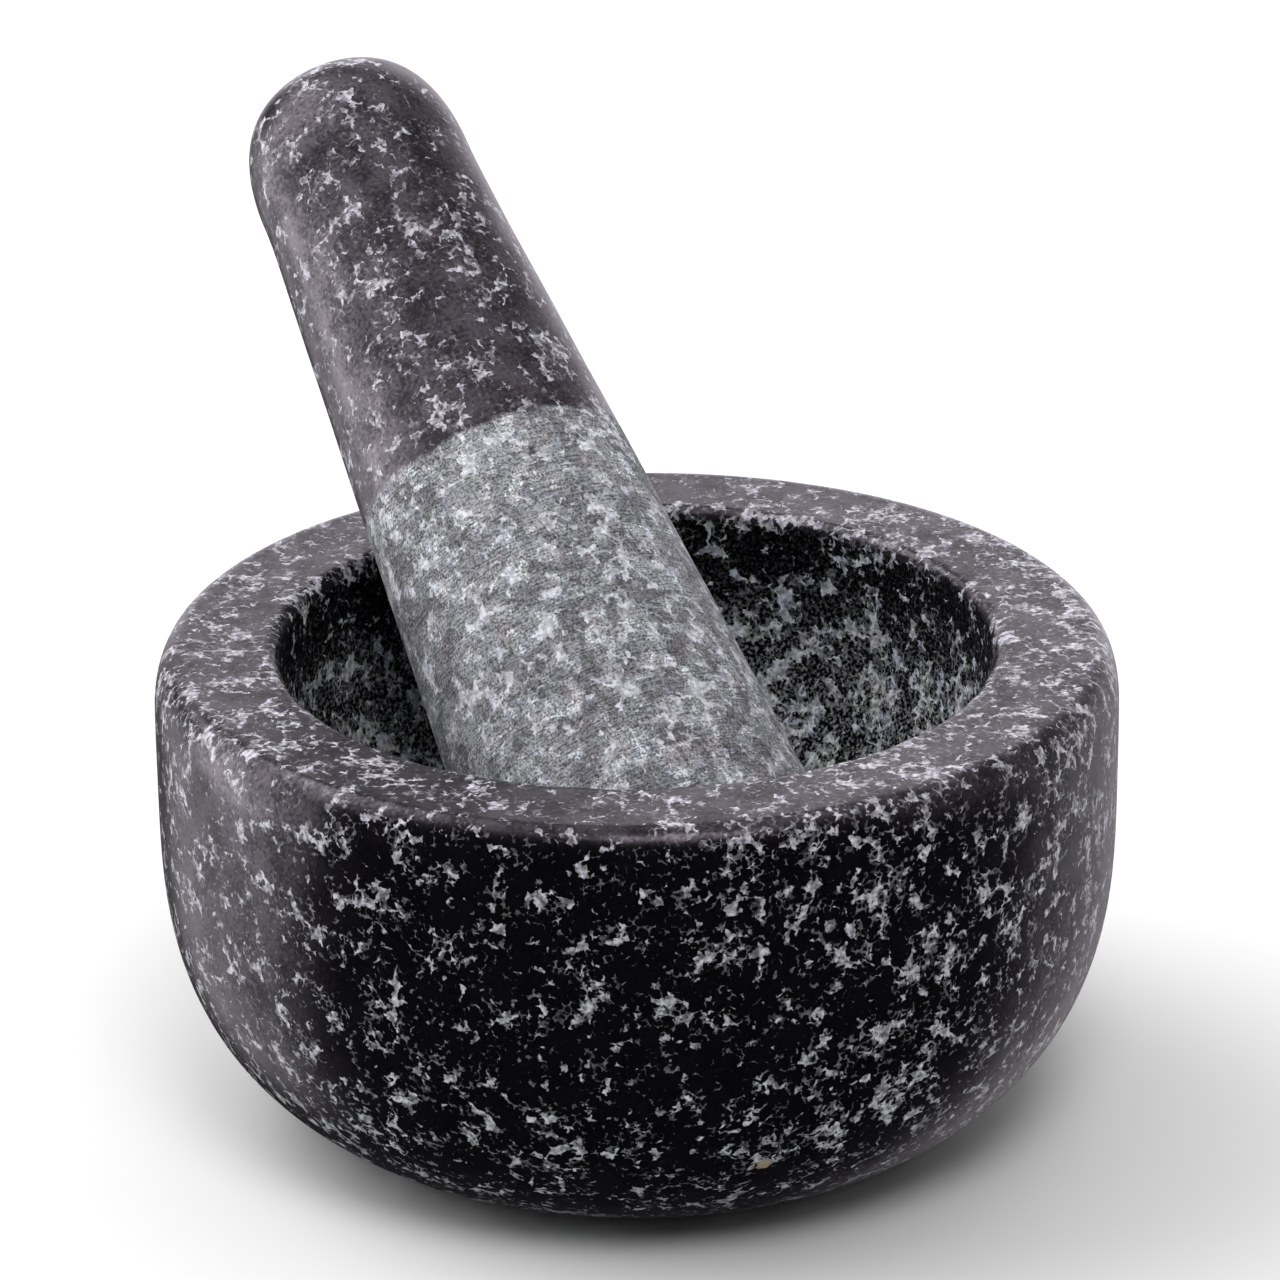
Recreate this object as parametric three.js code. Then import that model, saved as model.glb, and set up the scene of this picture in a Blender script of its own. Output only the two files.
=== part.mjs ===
// A turned stone mortar (a round bowl with a broad flat rim) and its pestle,
// leaning in the bowl as it is put down between uses.
//
// Millimetres, +Z up. The origin is the centre of the bowl's flat base.
// The two stones are separate solids, and a small gap is left where they touch.

import * as THREE from 'three';

const X_AXIS = new THREE.Vector3(1, 0, 0);
const LATHE_AXIS = new THREE.Vector3(0, 1, 0);

// ---- Driving dimensions of the bowl ----
const BOWL_RADIUS = 70;
const BOWL_HEIGHT = 70.7;
const BELLY_HEIGHT = 61.9;
const BASE_RADIUS = 44.6;
const SHOULDER_WIDTH = 4.3;
const MOUTH_RADIUS = 51.8;
const LIP_RADIUS = 2;
const FLOOR_THICKNESS = 16.5;

// The side from the base to the belly, the shoulder and the hollow are superellipses.
const SIDE_POWER_OUT = 1.21;
const SIDE_POWER_UP = 3.94;
const SHOULDER_POWER = 2.2;
const HOLLOW_POWER = 2.5;

// ---- Driving dimensions of the pestle ----
const PESTLE_LENGTH = 161;
const FOOT_RADIUS = 24.8;
const FOOT_DEPTH = 20;
const GRIP_RADIUS = 16.6;
const GRIP_DOME = 21.8;
const GRIP_POWER = 2.8;

// How the pestle leans: its lean from vertical, the compass direction of its
// grip end measured from +X towards +Y, and a point that its axis goes through.
const LEAN_ANGLE = THREE.MathUtils.degToRad(52);
const LEAN_DIRECTION = THREE.MathUtils.degToRad(116.9);
const WAIST_POINT = new THREE.Vector3(-20.6, 30.4, 83.4);
const WAIST_FROM_FOOT = 88.6;

// ---- Mesh fineness ----
const BOWL_SEGMENTS = 72;
const PESTLE_SEGMENTS = 48;

const graniteMaterials = {
  polished: new THREE.MeshStandardMaterial({ color: 0x1d1b20, roughness: 0.35, metalness: 0 }),
  honed: new THREE.MeshStandardMaterial({ color: 0x4a4b4e, roughness: 0.6, metalness: 0 }),
};

/** Points on a superelliptic arc, from the side (angle 0) to the end (angle 90 degrees). */
function superArc(centreR, centreY, reachR, reachY, powerR, powerY, steps) {
  const points = [];
  for (let i = 0; i <= steps; i += 1) {
    const angle = (i / steps) * (Math.PI / 2);
    const across = Math.cos(angle) ** (2 / powerR);
    const along = Math.sin(angle) ** (2 / powerY);
    points.push(new THREE.Vector2(centreR + reachR * across, centreY + reachY * along));
  }
  return points;
}

/** The bowl's side, from the edge of the flat base up to the belly. */
function sideProfile(steps) {
  const points = [];
  for (let i = 0; i <= steps; i += 1) {
    const angle = (i / steps) * (Math.PI / 2);
    const out = Math.sin(angle) ** (2 / SIDE_POWER_OUT);
    const up = 1 - Math.cos(angle) ** (2 / SIDE_POWER_UP);
    points.push(new THREE.Vector2(BASE_RADIUS + (BOWL_RADIUS - BASE_RADIUS) * out, BELLY_HEIGHT * up));
  }
  return points;
}

/** The whole section of the bowl: base, side, shoulder, rim, lip and hollow. */
function bowlProfile() {
  const shoulder = superArc(
    BOWL_RADIUS - SHOULDER_WIDTH,
    BELLY_HEIGHT,
    SHOULDER_WIDTH,
    BOWL_HEIGHT - BELLY_HEIGHT,
    SHOULDER_POWER,
    SHOULDER_POWER,
    8,
  );
  const lip = superArc(
    MOUTH_RADIUS + LIP_RADIUS,
    BOWL_HEIGHT - LIP_RADIUS,
    -LIP_RADIUS,
    LIP_RADIUS,
    2,
    2,
    4,
  ).reverse();
  const hollow = superArc(
    0,
    BOWL_HEIGHT - LIP_RADIUS,
    MOUTH_RADIUS,
    FLOOR_THICKNESS - (BOWL_HEIGHT - LIP_RADIUS),
    HOLLOW_POWER,
    HOLLOW_POWER,
    16,
  );
  return closeOnAxis([
    new THREE.Vector2(0, 0),
    ...sideProfile(14),
    ...shoulder.slice(1),
    ...lip,
    ...hollow.slice(1),
  ]);
}

/** The pestle's section from the foot's tip (height 0) to the grip's tip. */
function pestleProfile() {
  const foot = superArc(0, FOOT_DEPTH, FOOT_RADIUS, -FOOT_DEPTH, 2, 2, 9).reverse();
  const gripStart = PESTLE_LENGTH - GRIP_DOME;
  const grip = superArc(0, gripStart, GRIP_RADIUS, GRIP_DOME, GRIP_POWER, GRIP_POWER, 12);
  return closeOnAxis([...foot, ...grip]);
}

/** Puts the first and last points exactly on the axis, so that the lathe closes the solid. */
function closeOnAxis(points) {
  points[0].x = 0;
  points[points.length - 1].x = 0;
  return points;
}

function makeBowl() {
  const geometry = new THREE.LatheGeometry(bowlProfile(), BOWL_SEGMENTS);
  const bowl = new THREE.Mesh(geometry, graniteMaterials.polished);
  bowl.name = 'mortar_bowl';
  bowl.setRotationFromAxisAngle(X_AXIS, Math.PI / 2);
  return bowl;
}

function makePestle() {
  const geometry = new THREE.LatheGeometry(pestleProfile(), PESTLE_SEGMENTS);
  geometry.translate(0, -WAIST_FROM_FOOT, 0);
  const pestle = new THREE.Mesh(geometry, graniteMaterials.honed);
  pestle.name = 'pestle';
  return pestle;
}

/** The leaning frame: its Y axis runs up the pestle, and its origin is the waist point. */
function makeLean() {
  const direction = new THREE.Vector3(
    Math.sin(LEAN_ANGLE) * Math.cos(LEAN_DIRECTION),
    Math.sin(LEAN_ANGLE) * Math.sin(LEAN_DIRECTION),
    Math.cos(LEAN_ANGLE),
  );
  const lean = new THREE.Group();
  lean.position.copy(WAIST_POINT);
  lean.quaternion.setFromUnitVectors(LATHE_AXIS, direction);
  return lean;
}

const molcajete = new THREE.Group();
const lean = makeLean();
lean.add(makePestle());
molcajete.add(makeBowl(), lean);

export default molcajete;
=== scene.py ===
"""A granite mortar and pestle on a pale table, in soft studio light.

Lengths are metres, in the CAD part's own frame: the origin is the centre of the bowl's base, and +Z is up.
Both stones are turned again, finely, from the outlines of their CAD nodes, with the slight unevenness of
hand grinding. Their speckled granite is made by nodes that work in millimetres, as one solid texture.
"""

import math
from collections import namedtuple

import bpy
import numpy as np
from mathutils import Matrix, Vector, noise


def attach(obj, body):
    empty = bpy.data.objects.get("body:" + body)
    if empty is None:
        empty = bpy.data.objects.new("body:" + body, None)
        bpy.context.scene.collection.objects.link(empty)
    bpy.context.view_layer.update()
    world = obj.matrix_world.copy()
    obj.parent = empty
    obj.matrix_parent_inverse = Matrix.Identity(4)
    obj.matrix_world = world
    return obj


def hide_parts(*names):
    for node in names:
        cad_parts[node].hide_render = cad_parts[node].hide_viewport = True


MM = 0.001

# ---- Fineness of the turned meshes ----
BOWL_SEGMENTS = 360
PESTLE_SEGMENTS = 176
OUTLINE_STEP = 0.9 * MM
SAME_RING = 0.03 * MM

# ---- Unevenness of the hand-ground surfaces: how deep it is, and how far apart its waves are ----
SIDE_WAVES = 0.12 * MM
BOWL_WAVE_SIZE = 22 * MM
PESTLE_WAVE_SIZE = 18 * MM
HOLLOW_PECKS = 0.14 * MM
PECK_SIZE = 2.6 * MM
FLAT_BASE = 1.0 * MM

# ---- Granite, in millimetres: light strings run between packed dark grains, at three sizes ----
# grain: the grains' size. gather: the size of the noise that gathers the strings. start: how gathered they
# have to be to widen. width: their greatest half width, in grain sizes. edge: from bare to full.
# show: how strongly they show. ragged: whether the grains' outlines are ragged.
Strings = namedtuple("Strings", "grain seed gather gather_seed start width edge show ragged")
BROAD_STRINGS = Strings(2.7, 3, 3.0, 9, 0.55, 0.24, (-0.02, 0.10), 1.0, True)
FINE_STRINGS = Strings(1.5, 5, 2.0, 11, 0.56, 0.24, (-0.02, 0.15), 0.85, True)
DIM_STRINGS = Strings(0.8, 6, 1.5, 12, 0.50, 0.30, (-0.05, 0.25), 0.27, False)
HONED_HAZE = BROAD_STRINGS._replace(start=0.40, width=0.36)
# The half width goes from NO_STRING to a kind's width while the gathering rises by STRING_RAMP. A point that
# is further than CORNER from its grain's middle counts as more gathered, by CORNER_GAIN times the excess.
STRING_RAMP = 0.28
NO_STRING = -0.15
CORNER = 0.6
CORNER_GAIN = 0.8

# ---- The bowl's regions, in millimetres: each pair is where a region begins and where it is full ----
# ACROSS is a distance from the bowl's axis, and UP is a height above its base.
MOUTH = 51.8
HOLLOW_ACROSS = (MOUTH + 1.0, MOUTH)
# More grey crumbs deeper in the hollow, so that it is darker towards its top.
CRUMBS_DEEPER_UP = (66.0, 44.0)
LIP_ACROSS = (MOUTH + 2.4, MOUTH + 0.8)
LIP_UP = (67.5, 69.5)
RIM_UP = (66.0, 70.0)
PECKED_ACROSS = (MOUTH + 3.0, MOUTH + 1.0)
PECKED_UP = (71.8, 70.2)  # after a waver of up to PECKED_WAVER is added to the height
PECKED_WAVER = 3.0
PECKED_MESH_ACROSS = MOUTH + 1.5
UNDERSIDE_UP = (8.0, 9.0)  # keeps the pecking off the underside
CRUSHED_ANYWAY = 0.12
RUST_SPOT = (17.3, -60.9, 16.0)
RUST_SIZE = (1.3, 0.8)

# ---- How much more light mineral shows than in the plain granite ----
LIP_PLENTY = 0.10
RIM_PLENTY = 0.05
# Fewer light flecks high in the hollow are painted shade under the rim; more deep in it are painted light
# where the wall turns up.
HOLLOW_SHADE_AND_LIGHT_UP = (67.0, 52.0)
HOLLOW_SHADE_AND_LIGHT_PLENTY = (-0.09, 0.12)  # at its top, and deep in it
ASIDE_CENTRE = -10.0  # along X
ASIDE_REACH = (15.0, 60.0)
ASIDE_PLENTY = (-0.015, 0.06)  # near the centre, and away from it to either side
PESTLE_PLENTY = 0.025

# ---- The pestle's ground end, in millimetres: where it begins and is full above the foot's tip ----
HONED_UP = (89.1, 88.1)
HONED_WAVER = 3.2

# ---- Colours: the darkest and lightest of each kind of grain, and soft tints over them ----
POLISHED_DARK = ((0.0, 0.0, 0.0, 1), (0.004, 0.004, 0.006, 1))
POLISHED_LIGHT = ((0.10, 0.105, 0.115, 1), (0.66, 0.69, 0.71, 1))
PECKED_DARK = ((0.001, 0.001, 0.0015, 1), (0.30, 0.31, 0.31, 1))
PECKED_LIGHT = ((0.28, 0.29, 0.29, 1), (0.92, 0.96, 0.97, 1))
PECKED_TINTS = ((0.96, 1.03, 0.95, 1), (0.94, 1.0, 1.05, 1), (1.03, 1.02, 0.98, 1))
HONED_DARK = ((0.050, 0.054, 0.053, 1), (0.41, 0.445, 0.44, 1))
HONED_LIGHT = ((0.34, 0.37, 0.37, 1), (0.86, 0.92, 0.92, 1))
HONED_TINTS = ((0.98, 1.02, 0.96, 1), (0.96, 1.0, 1.03, 1), (1.03, 1.0, 0.98, 1))
RUST = (0.36, 0.28, 0.19, 1)
SHEEN = (1.0, 0.93, 1.0, 1.0)
FLOOR_COLOUR = (0.84, 0.90, 0.82, 1)

# ---- Finishes: a pair of roughness is for dark and light grains, and a pair of shine is least and most ----
STONE_IOR = 1.5
BOWL_ROUGHNESS = (0.25, 0.36)
BOWL_SHINE = (0.18, 0.62)
PECKED_ROUGHNESS = 0.85
PECKED_SHINE = 0.05
PESTLE_ROUGHNESS = (0.28, 0.36)
PESTLE_SHINE = (0.24, 0.80)
HONED_ROUGHNESS = 0.7
POLISHED_BUMP = 0.015 * MM
HOLLOW_BUMP = 0.15 * MM
HONED_BUMP = 0.05 * MM

# ---- Camera: a long lens, looking down on the bowl from the front ----
CAMERA_ELEVATION = math.radians(22.7)
CAMERA_DISTANCE = 1.39
CAMERA_AIM = (0.54 * MM, 0.0, 70.95 * MM)
CAMERA_LENS = 269.6
CAMERA_ROLL = math.radians(-0.56)
SENSOR_WIDTH = 36.0

# ---- Studio: a floor, and light from soft areas all round ----
# Each area has a direction, the angles from it in degrees where it is still full and where it has faded out,
# and a strength. What is below the horizon shows only in reflections, which look through the floor.
STUDIO_FILL = 0.03
STUDIO_AREAS = (
    ((-0.20, 0.12, 0.97), 20, 48, 1.15),  # ceiling
    ((0.12, -0.49, 0.86), 4, 17, 7.0),  # key, for the thin line along the front shoulder
    ((0.0, 1.0, 0.15), 12, 38, 1.2),  # back, for the sheen on the rim
    ((-0.97, 0.20, -0.04), 10, 28, 3.1),  # left, for the band along the grip
    ((-0.74, 0.30, 0.66), 14, 38, 3.0),  # high left, for the hollow's right wall
    ((-0.80, 0.52, -0.38), 12, 33, 1.0),  # low left, for the band down the bowl
    ((0.75, 0.40, 0.50), 25, 60, 0.6),  # right
    ((0.60, 0.70, -0.38), 12, 36, 0.5),  # low right, for the bowl's right edge
)
STUDIO_TINT = (1.0, 0.93, 1.02, 1.0)
FLOOR_REACH = 6.0
FLOOR_DROP = 0.2 * MM


# ---------------------------------------------------------------- outlines and turned meshes


def rings_of(node, foot, axis):
    """The (radius, height) of each ring of vertices of a turned node, and which rings its edges join."""
    mesh = node.data
    places = np.array([v.co for v in mesh.vertices]) - np.array(foot)
    heights = places @ np.array(axis)
    radii = np.linalg.norm(places - np.outer(heights, axis), axis=1)
    keys = np.stack([radii, heights], axis=1)
    rings = []
    ring_of = []
    for key in keys:
        near = [i for i, ring in enumerate(rings) if np.abs(ring - key).max() < SAME_RING]
        if not near:
            rings.append(key)
            near = [len(rings) - 1]
        ring_of.append(near[0])
    joins = {i: set() for i in range(len(rings))}
    for edge in mesh.edges:
        a, b = (ring_of[v] for v in edge.vertices)
        if a != b:
            joins[a].add(b)
            joins[b].add(a)
    return np.array(rings), joins


def outline_of(node, foot, axis):
    """A turned CAD node's outline as (radius, height) points, from the foot to the other end on the axis."""
    rings, joins = rings_of(node, foot, axis)
    at = int(np.argmin(np.hypot(rings[:, 0], rings[:, 1])))
    order = [at]
    while True:
        ahead = [i for i in joins[order[-1]] if i not in order]
        if not ahead:
            break
        order.append(ahead[0])
    outline = rings[order]
    outline[[0, -1], 0] = 0.0
    return outline


def smooth_outline(points, step):
    """A centripetal Catmull-Rom curve through an outline, as points up to about one step apart."""
    mirror = (-1, 1)
    knots = np.vstack([points[1] * mirror, points, points[-2] * mirror])
    fine = []
    for p0, p1, p2, p3 in zip(knots, knots[1:], knots[2:], knots[3:]):
        t1 = np.linalg.norm(p1 - p0) ** 0.5
        t2 = t1 + np.linalg.norm(p2 - p1) ** 0.5
        t3 = t2 + np.linalg.norm(p3 - p2) ** 0.5
        count = max(1, math.ceil(np.linalg.norm(p2 - p1) / step))
        for t in np.linspace(t1, t2, count, endpoint=False):
            a1 = (t1 - t) / t1 * p0 + t / t1 * p1
            a2 = (t2 - t) / (t2 - t1) * p1 + (t - t1) / (t2 - t1) * p2
            a3 = (t3 - t) / (t3 - t2) * p2 + (t - t2) / (t3 - t2) * p3
            b1 = (t2 - t) / t2 * a1 + t / t2 * a2
            b2 = (t3 - t) / (t3 - t1) * a2 + (t - t1) / (t3 - t1) * a3
            fine.append((t2 - t) / (t2 - t1) * b1 + (t - t1) / (t2 - t1) * b2)
    fine.append(points[-1])
    fine = np.array(fine)
    fine[:, 1] = np.clip(fine[:, 1], points[:, 1].min(), points[:, 1].max())
    return fine


def turned_mesh(name, outline, segments):
    """A closed solid of revolution about Z, from an outline that starts and ends on the axis."""
    angles = np.linspace(0, 2 * math.pi, segments, endpoint=False)
    rings = outline[1:-1]
    verts = [(0.0, 0.0, outline[0][1])]
    for radius, height in rings:
        verts += [(radius * math.cos(a), radius * math.sin(a), height) for a in angles]
    verts.append((0.0, 0.0, outline[-1][1]))
    last = len(verts) - 1
    faces = []
    for s in range(segments):
        t = (s + 1) % segments
        faces.append((0, 1 + t, 1 + s))
        for r in range(len(rings) - 1):
            low, high = 1 + r * segments, 1 + (r + 1) * segments
            faces.append((low + s, low + t, high + t, high + s))
        top = 1 + (len(rings) - 1) * segments
        faces.append((top + s, top + t, last))
    mesh = bpy.data.meshes.new(name)
    mesh.from_pydata(verts, [], faces)
    mesh.update()
    mesh.shade_smooth()
    return mesh


def rumple(mesh, depth_at, size, seed):
    """Moves vertices along their normals by smooth noise, by at most depth_at(vertex place) metres."""
    shift = Vector((seed, 2.0 * seed, 3.0 * seed))
    moves = []
    for vert in mesh.vertices:
        depth = depth_at(vert.co)
        moves.append(vert.normal * (depth * noise.noise(vert.co / size + shift)))
    for vert, move in zip(mesh.vertices, moves):
        vert.co += move
    mesh.update()


def show(name, mesh, matrix, material):
    """Puts a mesh in the scene as an object."""
    piece = bpy.data.objects.new(name, mesh)
    piece.matrix_world = matrix
    mesh.materials.append(material)
    bpy.context.scene.collection.objects.link(piece)
    return piece


# ---------------------------------------------------------------- node graphs


class Graph:
    """Short-hand for a material's or world's nodes. Plain values set a socket, and sockets are linked."""

    NOISE_STRIDE = (13.7, 5.3, 9.1)
    GRAIN_STRIDE = (7.9, 3.1, 11.3)

    def __init__(self, owner):
        owner.use_nodes = True
        self.tree = owner.node_tree
        self.tree.nodes.clear()

    def node(self, kind, inputs=(), **settings):
        """A new node. Its inputs are given by name or number, its settings by name."""
        made = self.tree.nodes.new(kind)
        for key, value in settings.items():
            setattr(made, key, value)
        for key, value in dict(inputs).items():
            self.put(made.inputs[key], value)
        return made

    def put(self, socket, value):
        if isinstance(value, bpy.types.NodeSocket):
            self.tree.links.new(value, socket)
        else:
            socket.default_value = value

    def math(self, operation, *values):
        return self.node("ShaderNodeMath", enumerate(values), operation=operation).outputs[0]

    def vector(self, operation, *values):
        return self.node("ShaderNodeVectorMath", enumerate(values), operation=operation).outputs[0]

    def measure(self, operation, *values):
        """A vector operation whose result is a number, such as a length."""
        made = self.node("ShaderNodeVectorMath", enumerate(values), operation=operation)
        return made.outputs["Value"]

    def scaled(self, vector, factor):
        inputs = {"Vector": vector, "Scale": factor}
        return self.node("ShaderNodeVectorMath", inputs, operation="SCALE").outputs[0]

    def separate(self, vector):
        """The X, Y and Z of a vector."""
        return self.node("ShaderNodeSeparateXYZ", {0: vector}).outputs

    def step(self, value, low, high, start=0.0, end=1.0):
        """Goes smoothly from start to end as value goes from low to high."""
        inputs = {"Value": value, "From Min": low, "From Max": high, "To Min": start, "To Max": end}
        return self.node("ShaderNodeMapRange", inputs, interpolation_type="SMOOTHSTEP").outputs[0]

    def blend(self, factor, start, end):
        """Goes smoothly from start to end as factor goes from 0 to 1."""
        return self.step(factor, 0.0, 1.0, start, end)

    def mix(self, factor, a, b, blend_type="MIX"):
        """The colour between a and b, or that of another blend type."""
        inputs = {0: factor, 6: a, 7: b}
        return self.node("ShaderNodeMix", inputs, data_type="RGBA", blend_type=blend_type).outputs[2]

    def multiply(self, a, b):
        return self.mix(1.0, a, b, "MULTIPLY")

    def centred(self, noise, reach):
        """Noise from -reach / 2 to reach / 2."""
        return self.math("MULTIPLY_ADD", noise, reach, -reach / 2)

    def moved(self, place, seed, stride):
        """The place in another part of a texture: seed strides away."""
        return self.vector("ADD", place, [seed * part for part in stride])

    def noise(self, place, size, detail=1.0, seed=0.0, colour=False):
        """Noise of a feature size in the units of place. Its middle is 0.5."""
        start = self.moved(place, seed, self.NOISE_STRIDE) if seed else place
        made = self.node("ShaderNodeTexNoise", {"Vector": start, "Scale": 1.0 / size, "Detail": detail})
        return made.outputs["Color" if colour else "Fac"]

    def grains(self, place, size, seed, feature="F1"):
        """A texture of packed grains, about one size across."""
        inputs = {"Vector": self.moved(place, seed, self.GRAIN_STRIDE), "Scale": 1.0 / size}
        return self.node("ShaderNodeTexVoronoi", inputs, feature=feature)

    def finish(self, **inputs):
        """Ends the graph in a Principled shader, whose sockets are named with _ for a space."""
        named = {key.replace("_", " "): value for key, value in inputs.items()}
        shader = self.node("ShaderNodeBsdfPrincipled", named)
        self.node("ShaderNodeOutputMaterial", {"Surface": shader.outputs[0]})


def pushed(g, place, size, depth):
    """The point moved about by up to half of depth, so that the grains' outlines turn ragged."""
    push = g.vector("SUBTRACT", g.noise(place, size, colour=True), (0.5, 0.5, 0.5))
    return g.vector("ADD", place, g.scaled(push, depth))


def strings(g, place, gather, kind):
    """How far inside a light string a point is, in grain sizes. Strings widen where grains' corners meet."""
    middle = g.grains(place, kind.grain, kind.seed).outputs["Distance"]
    wall = g.grains(place, kind.grain, kind.seed, "DISTANCE_TO_EDGE").outputs["Distance"]
    widen = g.math("MULTIPLY_ADD", g.math("SUBTRACT", middle, CORNER), CORNER_GAIN, gather)
    half_width = g.step(widen, kind.start, kind.start + STRING_RAMP, NO_STRING, kind.width)
    return g.math("SUBTRACT", half_width, wall)


def granite(g, place, plenty):
    """How much light feldspar shows at a point, and its tone there, both from 0 to 1."""
    ragged = pushed(g, pushed(g, place, 1.5, 1.0), 0.5, 0.45)
    region = g.math("ADD", g.centred(g.noise(place, 6.0, seed=2), 0.75), plenty)
    nibble = g.math("MULTIPLY_ADD", g.noise(place, 0.5, detail=2.0, seed=7), -0.7, 0.33)
    cover = 0.0
    for kind in (BROAD_STRINGS, FINE_STRINGS, DIM_STRINGS):
        gather = g.math("ADD", region, g.noise(place, kind.gather, seed=kind.gather_seed))
        light = strings(g, ragged if kind.ragged else place, gather, kind)
        shown = g.step(g.math("ADD", light, nibble), *kind.edge, 0.0, kind.show)
        cover = g.math("MAXIMUM", cover, shown)
    tone = g.step(g.noise(place, 0.9, detail=3.0, seed=6), 0.33, 0.72)
    return cover, tone


def stone_point(g, lean=None):
    """The point in millimetres in the stone's own frame."""
    place = g.node("ShaderNodeTexCoord").outputs["Object"]
    if lean:
        inputs = {"Vector": place, "Location": lean.translation, "Rotation": lean.to_euler()}
        place = g.node("ShaderNodeMapping", inputs, vector_type="TEXTURE").outputs[0]
    return g.scaled(place, 1.0 / MM)


def tinted(g, place, size, seed, colours):
    """A soft patchwork of three tints."""
    first = g.mix(g.step(g.noise(place, size, seed=seed), 0.42, 0.58), colours[0], colours[1])
    return g.mix(g.step(g.noise(place, size, seed=seed + 1), 0.5, 0.66), first, colours[2])


def polished_colour(g, place, cover, tone):
    """Nearly black mica and hornblende, with light blue-grey feldspar."""
    dark = g.mix(g.noise(place, 0.6, detail=2.0, seed=8), *POLISHED_DARK)
    return g.mix(cover, dark, g.mix(tone, *POLISHED_LIGHT))


def pecked_colour(g, place, cover, tone, crushed):
    """The pecked stone of the hollow. Its dark grains turn grey where crushed is high."""
    crumbs = g.step(g.noise(place, 0.5, detail=2.0, seed=21), 0.46, 0.70)
    crumbs = g.math("MULTIPLY", crumbs, crushed)
    grains = g.mix(cover, g.mix(crumbs, *PECKED_DARK), g.mix(tone, *PECKED_LIGHT))
    return g.multiply(grains, tinted(g, place, 4.0, 23, PECKED_TINTS))


def honed_haze(g, place, crumbs):
    """How much lighter or darker the ground grey is: hazy strings, and a tone of its own for each grain."""
    ragged = pushed(g, pushed(g, place, 3.0, 2.4), 0.8, 0.9)
    gather = g.math("MULTIPLY_ADD", g.noise(place, 2.2, detail=2.0, seed=9), 1.7, -0.40)
    haze = g.math("MULTIPLY_ADD", crumbs, 0.6, strings(g, ragged, gather, HONED_HAZE))
    haze = g.step(haze, 0.15, 0.60, 0.80, 1.55)
    grain = g.grains(pushed(g, place, 2.0, 1.2), 3.3, 4).outputs["Color"]
    own = g.node("ShaderNodeSeparateColor", {0: grain}).outputs[0]
    return g.math("MULTIPLY", haze, g.blend(own, 0.62, 1.42))


def honed_colour(g, place, cover, tone):
    """The ground end: dull mid grey, every grain scuffed, with fine streaks round the axis."""
    streak = g.noise(g.vector("MULTIPLY", place, (0.3, 0.3, 4.0)), 1.0, detail=2.0, seed=31)
    crumbs = g.noise(place, 0.35, detail=3.0, seed=32)
    scuff = g.step(g.math("MULTIPLY_ADD", streak, 0.55, crumbs), 0.55, 1.0)
    grey = g.multiply(g.mix(scuff, *HONED_DARK), tinted(g, place, 3.5, 33, HONED_TINTS))
    grey = g.scaled(grey, honed_haze(g, place, crumbs))
    return g.mix(g.math("MULTIPLY", cover, 0.9), grey, g.mix(tone, *HONED_LIGHT))


def polish(g, place, least, most):
    """How strongly the polish shines. It is mottled finely, and over patches of some millimetres."""
    patches = g.centred(g.noise(place, 5.0, detail=2.0, seed=47), 0.9)
    mottled = g.math("ADD", g.noise(place, 0.6, detail=3.0, seed=46), patches)
    return g.step(mottled, 0.25, 0.75, least, most)


def bumped(g, height, depth):
    """The surface normal over small bumps: a height from 0 to 1 stands for up to depth metres."""
    return g.node("ShaderNodeBump", {"Height": height, "Distance": depth}).outputs[0]


def bowl_plenty(g, aside, up, across, hollow):
    """Where the bowl has more light mineral: the lip, the rim and out at the sides. In the hollow, fewer
    light flecks near its top are painted shade under the rim, and more deep in it are painted light.
    """
    lip = g.math("MULTIPLY", g.step(up, *LIP_UP), g.step(across, *LIP_ACROSS))
    # Painted shade high in the hollow, under the rim, and painted light deep in it, as fewer or more light
    # flecks.
    hollow_shade_and_light = g.math("MULTIPLY", hollow, g.step(up, *HOLLOW_SHADE_AND_LIGHT_UP, *HOLLOW_SHADE_AND_LIGHT_PLENTY))
    plenty = g.math("MULTIPLY_ADD", lip, LIP_PLENTY, hollow_shade_and_light)
    plenty = g.math("MULTIPLY_ADD", g.step(up, *RIM_UP), RIM_PLENTY, plenty)
    away = g.math("ABSOLUTE", g.math("ADD", aside, -ASIDE_CENTRE))
    return g.math("ADD", g.step(away, *ASIDE_REACH, *ASIDE_PLENTY), plenty)


def pecked_region(g, place, up, across):
    """1 on the pecked stone of the hollow, from a wavering edge on the lip downwards, and 0 on polish."""
    waver = g.math("MULTIPLY", g.noise(place, 3.0, detail=2.0, seed=41), PECKED_WAVER)
    below = g.step(g.math("ADD", up, waver), *PECKED_UP)
    inside = g.math("MULTIPLY", below, g.step(across, *PECKED_ACROSS))
    return g.math("MULTIPLY", inside, g.step(up, *UNDERSIDE_UP))


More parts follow.
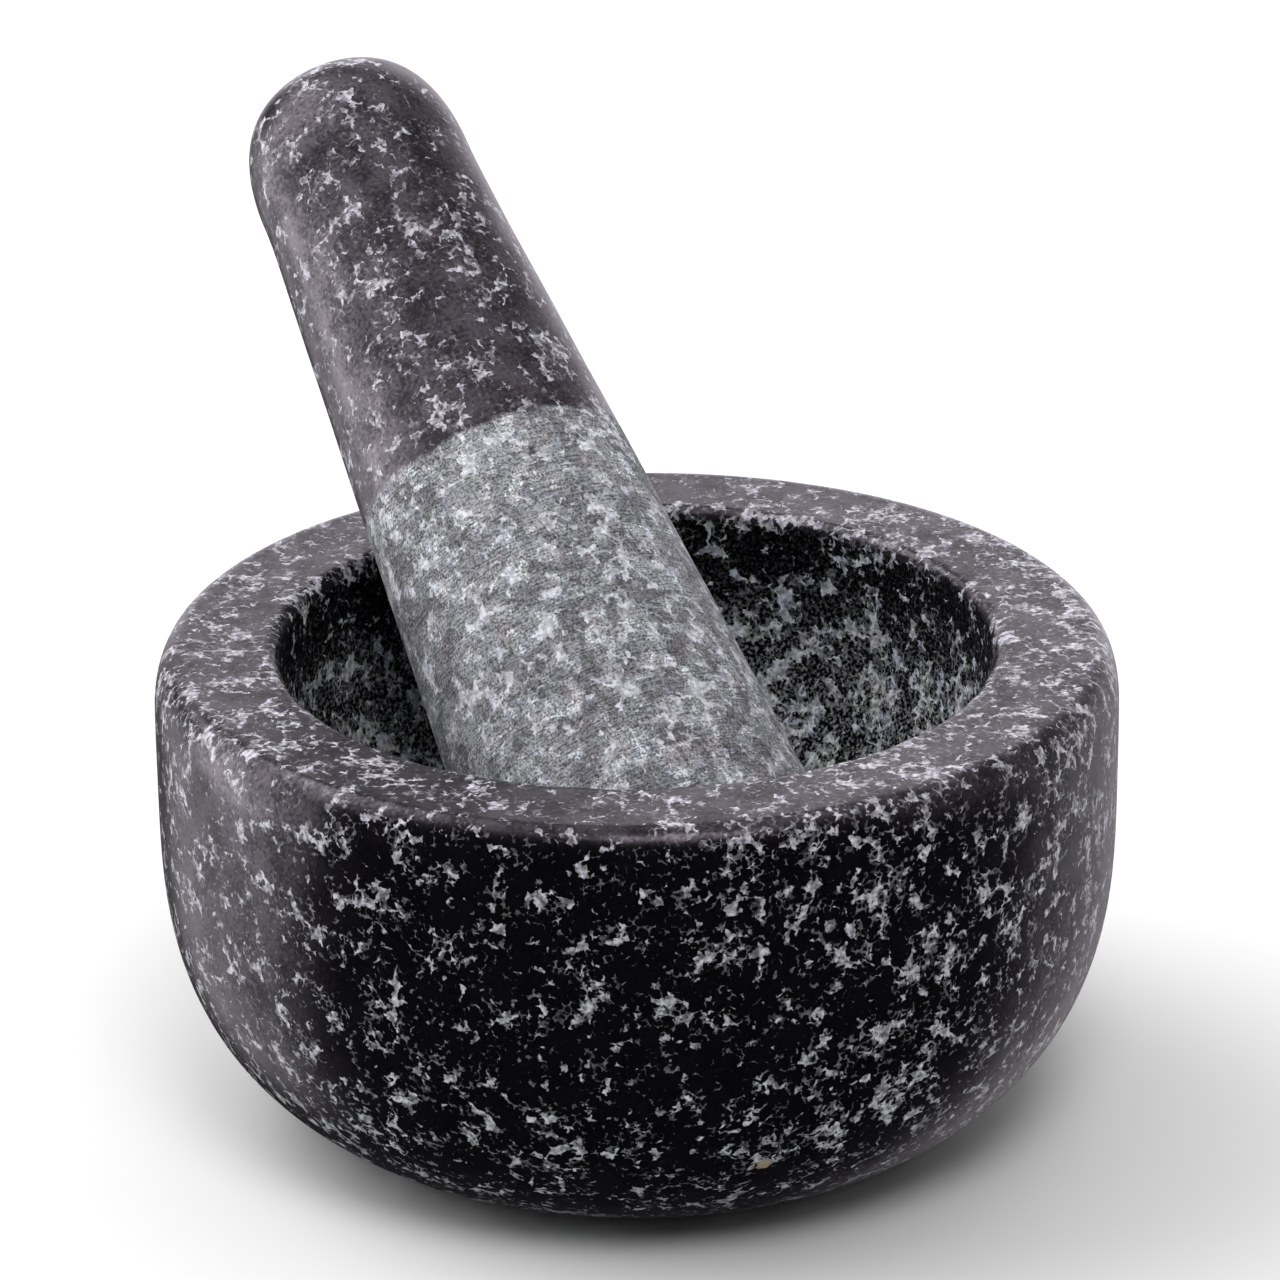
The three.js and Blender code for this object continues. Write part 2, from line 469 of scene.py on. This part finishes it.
def bowl_granite():
    material = bpy.data.materials.new("bowl granite")
    g = Graph(material)
    place = stone_point(g)
    aside, _, up = g.separate(place)
    across = g.measure("LENGTH", g.vector("MULTIPLY", place, (1, 1, 0)))
    hollow = g.step(across, *HOLLOW_ACROSS)
    cover, tone = granite(g, place, bowl_plenty(g, aside, up, across, hollow))
    pecked = pecked_region(g, place, up, across)
    # More grey crumbs deeper in the hollow: it is darker towards its top.
    crumbs_deeper = g.math("MULTIPLY", hollow, g.step(up, *CRUMBS_DEEPER_UP))
    crushed = g.math("MULTIPLY_ADD", crumbs_deeper, 1.0 - CRUSHED_ANYWAY, CRUSHED_ANYWAY)
    polished = polished_colour(g, place, cover, tone)
    colour = g.mix(pecked, polished, pecked_colour(g, place, cover, tone, crushed))
    rust = g.measure("DISTANCE", pushed(g, place, 1.0, 1.6), RUST_SPOT)
    depth = g.blend(pecked, POLISHED_BUMP, HOLLOW_BUMP)
    g.finish(
        Base_Color=g.mix(g.step(rust, *RUST_SIZE), colour, RUST),
        Roughness=g.blend(pecked, g.blend(cover, *BOWL_ROUGHNESS), PECKED_ROUGHNESS),
        IOR=STONE_IOR,
        Specular_IOR_Level=g.blend(pecked, polish(g, place, *BOWL_SHINE), PECKED_SHINE),
        Specular_Tint=SHEEN,
        Normal=bumped(g, g.noise(place, 0.8, detail=2.0, seed=45), depth),
    )
    return material


def pestle_granite(lean):
    material = bpy.data.materials.new("pestle granite")
    g = Graph(material)
    place = stone_point(g, lean)
    cover, tone = granite(g, place, PESTLE_PLENTY)
    _, _, up = g.separate(place)
    waver = g.centred(g.noise(place, 4.0, detail=3.0, seed=42), HONED_WAVER)
    honed = g.step(g.math("ADD", up, waver), *HONED_UP)
    depth = g.blend(honed, POLISHED_BUMP, HONED_BUMP)
    polished = polished_colour(g, place, cover, tone)
    g.finish(
        Base_Color=g.mix(honed, polished, honed_colour(g, place, cover, tone)),
        Roughness=g.blend(honed, g.blend(cover, *PESTLE_ROUGHNESS), HONED_ROUGHNESS),
        IOR=STONE_IOR,
        Specular_IOR_Level=polish(g, place, *PESTLE_SHINE),
        Specular_Tint=SHEEN,
        Normal=bumped(g, g.noise(place, 0.6, detail=3.0, seed=45), depth),
    )
    return material


# ---------------------------------------------------------------- the two stones


def hollow_depth(place):
    """How deeply the stone is pecked at a place: evenly in the hollow, and not at all outside it."""
    inside = math.hypot(place.x, place.y) < PECKED_MESH_ACROSS * MM
    return HOLLOW_PECKS if inside and place.z > FLAT_BASE else 0.0


def make_bowl(frame):
    node = frame["nodes"]["mortar_bowl"]
    outline = smooth_outline(outline_of(node, (0, 0, 0), (0, 0, 1)), OUTLINE_STEP)
    mesh = turned_mesh("granite_bowl", outline, BOWL_SEGMENTS)
    rumple(mesh, lambda co: SIDE_WAVES if co.z > FLAT_BASE else 0.0, BOWL_WAVE_SIZE, seed=3.1)
    rumple(mesh, hollow_depth, PECK_SIZE, seed=5.7)
    bowl = show("granite_bowl", mesh, Matrix.Identity(4), bowl_granite())
    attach(bowl, "mortar")
    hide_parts("mortar_bowl")


def pestle_ends(node):
    """The tips of the pestle's foot and grip: its two vertices that are furthest apart."""
    places = np.array([v.co for v in node.data.vertices])
    one = places[np.argmax(np.linalg.norm(places - places.mean(0), axis=1))]
    other = places[np.argmax(np.linalg.norm(places - one, axis=1))]
    foot, grip = sorted((one, other), key=lambda p: p[2])
    return Vector(foot), Vector(grip)


def make_pestle(frame):
    node = frame["nodes"]["pestle"]
    foot, grip = pestle_ends(node)
    axis = (grip - foot).normalized()
    outline = smooth_outline(outline_of(node, foot, axis), OUTLINE_STEP)
    mesh = turned_mesh("granite_pestle", outline, PESTLE_SEGMENTS)
    rumple(mesh, lambda co: SIDE_WAVES, PESTLE_WAVE_SIZE, seed=7.3)
    lean = Matrix.Translation(foot) @ axis.to_track_quat("Z", "Y").to_matrix().to_4x4()
    mesh.transform(lean)
    pestle = show("granite_pestle", mesh, Matrix.Identity(4), pestle_granite(lean))
    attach(pestle, "pestle")
    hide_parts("pestle")


# ---------------------------------------------------------------- studio


def make_floor():
    """A pale floor, a hair under the bowl's base. Reflections look through it, to the low areas of light."""
    mesh = bpy.data.meshes.new("floor")
    corners = [(x * FLOOR_REACH, y * FLOOR_REACH, 0) for x, y in ((-1, -1), (1, -1), (1, 1), (-1, 1))]
    mesh.from_pydata(corners, [], [(0, 1, 2, 3)])
    material = bpy.data.materials.new("pale floor")
    Graph(material).finish(Base_Color=FLOOR_COLOUR, Roughness=1.0, Specular_IOR_Level=0.0)
    floor = show("floor", mesh, Matrix.Translation((0, 0, -FLOOR_DROP)), material)
    floor.visible_glossy = False


def make_world():
    """Light from soft bright areas all round. Seen straight, the world is plain white."""
    world = bpy.data.worlds.new("studio")
    bpy.context.scene.world = world
    g = Graph(world)
    towards = g.node("ShaderNodeTexCoord").outputs["Generated"]
    total = STUDIO_FILL
    for direction, full, none, strength in STUDIO_AREAS:
        close = g.measure("DOT_PRODUCT", towards, Vector(direction).normalized())
        fades = math.cos(math.radians(none))
        fills = math.cos(math.radians(full))
        total = g.math("ADD", g.step(close, fades, fills, 0.0, strength), total)
    light = g.node("ShaderNodeBackground", {"Color": STUDIO_TINT, "Strength": total})
    plain = g.node("ShaderNodeBackground", {"Color": (1, 1, 1, 1), "Strength": 1.0})
    seen = g.node("ShaderNodeLightPath").outputs["Is Camera Ray"]
    both = g.node("ShaderNodeMixShader", {0: seen, 1: light.outputs[0], 2: plain.outputs[0]})
    g.node("ShaderNodeOutputWorld", {"Surface": both.outputs[0]})


def make_camera():
    """The camera straight in front of the bowl, above it."""
    aim = Vector(CAMERA_AIM)
    back = Vector((0, -math.cos(CAMERA_ELEVATION), math.sin(CAMERA_ELEVATION)))
    camera = bpy.data.cameras.new("camera")
    camera.lens = CAMERA_LENS
    camera.sensor_width = SENSOR_WIDTH
    camera.clip_end = 50.0
    piece = bpy.data.objects.new("camera", camera)
    upright = back.to_track_quat("Z", "Y").to_matrix().to_4x4()
    roll = Matrix.Rotation(CAMERA_ROLL, 4, "Z")
    piece.matrix_world = Matrix.Translation(aim + back * CAMERA_DISTANCE) @ upright @ roll
    bpy.context.scene.collection.objects.link(piece)
    bpy.context.scene.camera = piece


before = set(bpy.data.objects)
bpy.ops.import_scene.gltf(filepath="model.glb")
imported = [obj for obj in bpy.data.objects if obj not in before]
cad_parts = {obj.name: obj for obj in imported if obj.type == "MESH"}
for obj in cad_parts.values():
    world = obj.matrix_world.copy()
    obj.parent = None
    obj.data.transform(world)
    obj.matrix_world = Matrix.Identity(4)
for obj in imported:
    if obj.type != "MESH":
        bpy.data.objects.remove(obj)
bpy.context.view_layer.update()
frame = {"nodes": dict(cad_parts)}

make_camera()
make_bowl(frame)
make_pestle(frame)
make_floor()
make_world()
bpy.context.scene.view_settings.view_transform = "Standard"
